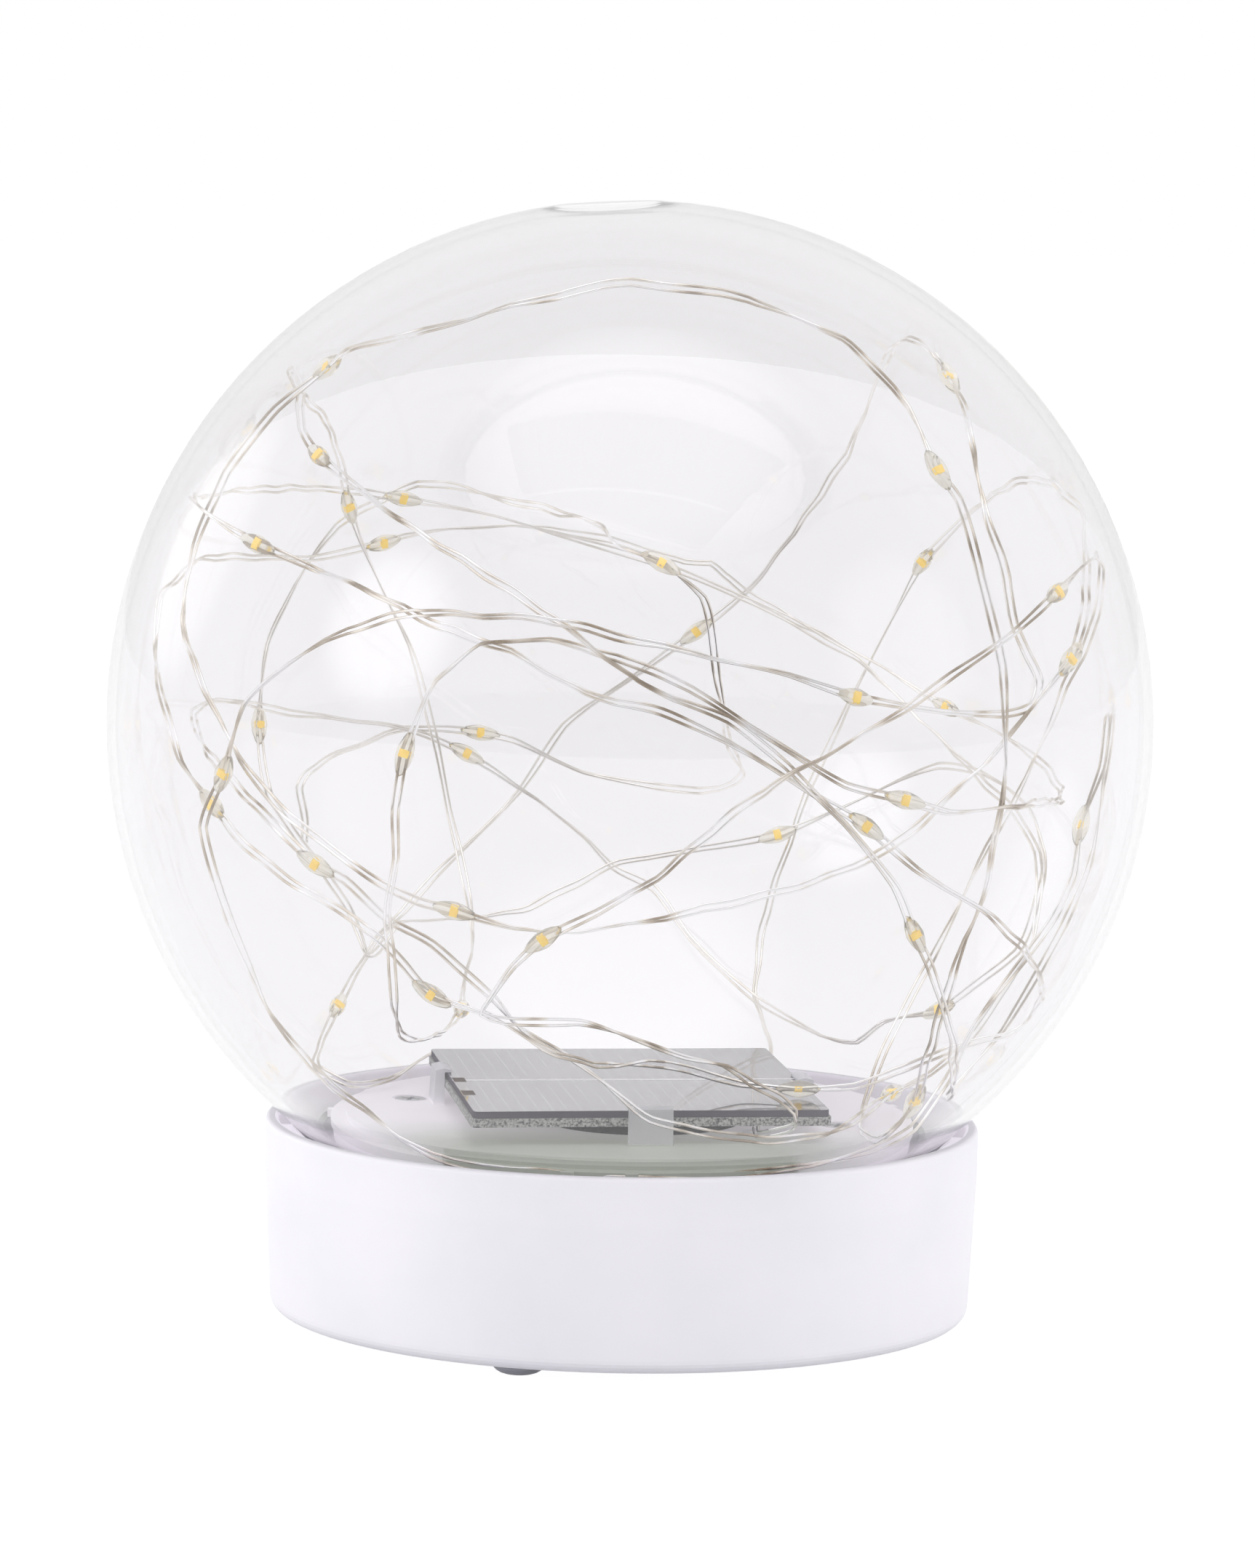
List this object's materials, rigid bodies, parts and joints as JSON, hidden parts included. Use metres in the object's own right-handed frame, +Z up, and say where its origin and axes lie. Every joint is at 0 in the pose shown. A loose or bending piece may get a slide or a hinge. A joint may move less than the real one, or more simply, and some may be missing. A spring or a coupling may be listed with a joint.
{
  "type": "solar pool light",
  "caption": "Floating solar light: a clear ball on a round cup base, with a springy string of light drops inside and a flat solar panel on the lid under it.",
  "frame": {"origin": "on the floor under the middle of the ball, at the bottoms of the rubber feet", "axes": "+Z up through the middle of the ball, -Y towards the front, +X to the right as seen from the front"},
  "size_m": [0.15, 0.15, 0.1619],
  "materials": {
    "white_shell": "satin",
    "clear_ball": "clear, glossy",
    "dark_rubber": "matte",
    "frosted_lid": "frosted, translucent",
    "screw_steel": "zinc plated",
    "black_foam": "matte foam",
    "panel_board": "cut board edge",
    "panel_laminate": "glossy epoxy",
    "lead_sleeve": "satin",
    "silver_wire": "bright drawn wire",
    "clear_epoxy": "clear, glossy",
    "phosphor": "satin",
    "cell_sleeve": "shrink sleeve",
    "contact_steel": "nickel plated",
    "green_board": "solder mask",
    "black_resin": "moulded",
    "capacitor_sleeve": "shrink sleeve",
    "ferrite": "matte",
    "plunger_plastic": "moulded",
    "button_plastic": "satin silicone",
    "pale_rubber": "matte"
  },
  "bodies": {
    "base": {"base_cup": "white_shell", "neck_gasket": "dark_rubber", "inner_lid": "frosted_lid", "lid_screws": "screw_steel", "foam_pad": "black_foam", "panel_board": "panel_board", "panel_laminate": "panel_laminate", "panel_leads": "lead_sleeve", "light_wire_left": "silver_wire", "light_wire_right": "silver_wire", "light_drops": "clear_epoxy", "light_chips": "phosphor", "wire_grommet": "frosted_lid", "light_leads": "silver_wire", "battery_cell": "cell_sleeve", "contact_spring": "contact_steel", "contact_plate": "contact_steel", "circuit_board": "green_board", "board_screws": "screw_steel", "control_chip": "black_resin", "capacitor": "capacitor_sleeve", "inductor": "ferrite", "switch_body": "black_resin", "switch_seal": "dark_rubber", "rubber_feet": "pale_rubber"},
    "clear_ball": {"ball": "clear_ball"},
    "push_button": {"switch_button": "button_plastic", "switch_plunger": "plunger_plastic"},
    "door": {"battery_door": "white_shell", "door_seal": "dark_rubber", "door_screws": "screw_steel"}
  },
  "joints": [
    {"name": "ball_twist", "type": "hinge", "parent": "base", "child": "clear_ball", "pos_m": [0, 0, 0.02], "axis": [0, 0, 1], "range_deg": [0, 60]},
    {"name": "button_press", "type": "slide", "parent": "base", "child": "push_button", "axis": [0, 0, 1], "range_m": [0, 0.0012], "stiffness_N_per_m": 400, "springref_m": -0.001},
    {"name": "door_drop", "type": "slide", "parent": "base", "child": "door", "axis": [0, 0, -1], "range_m": [0, 0.02]}
  ]
}
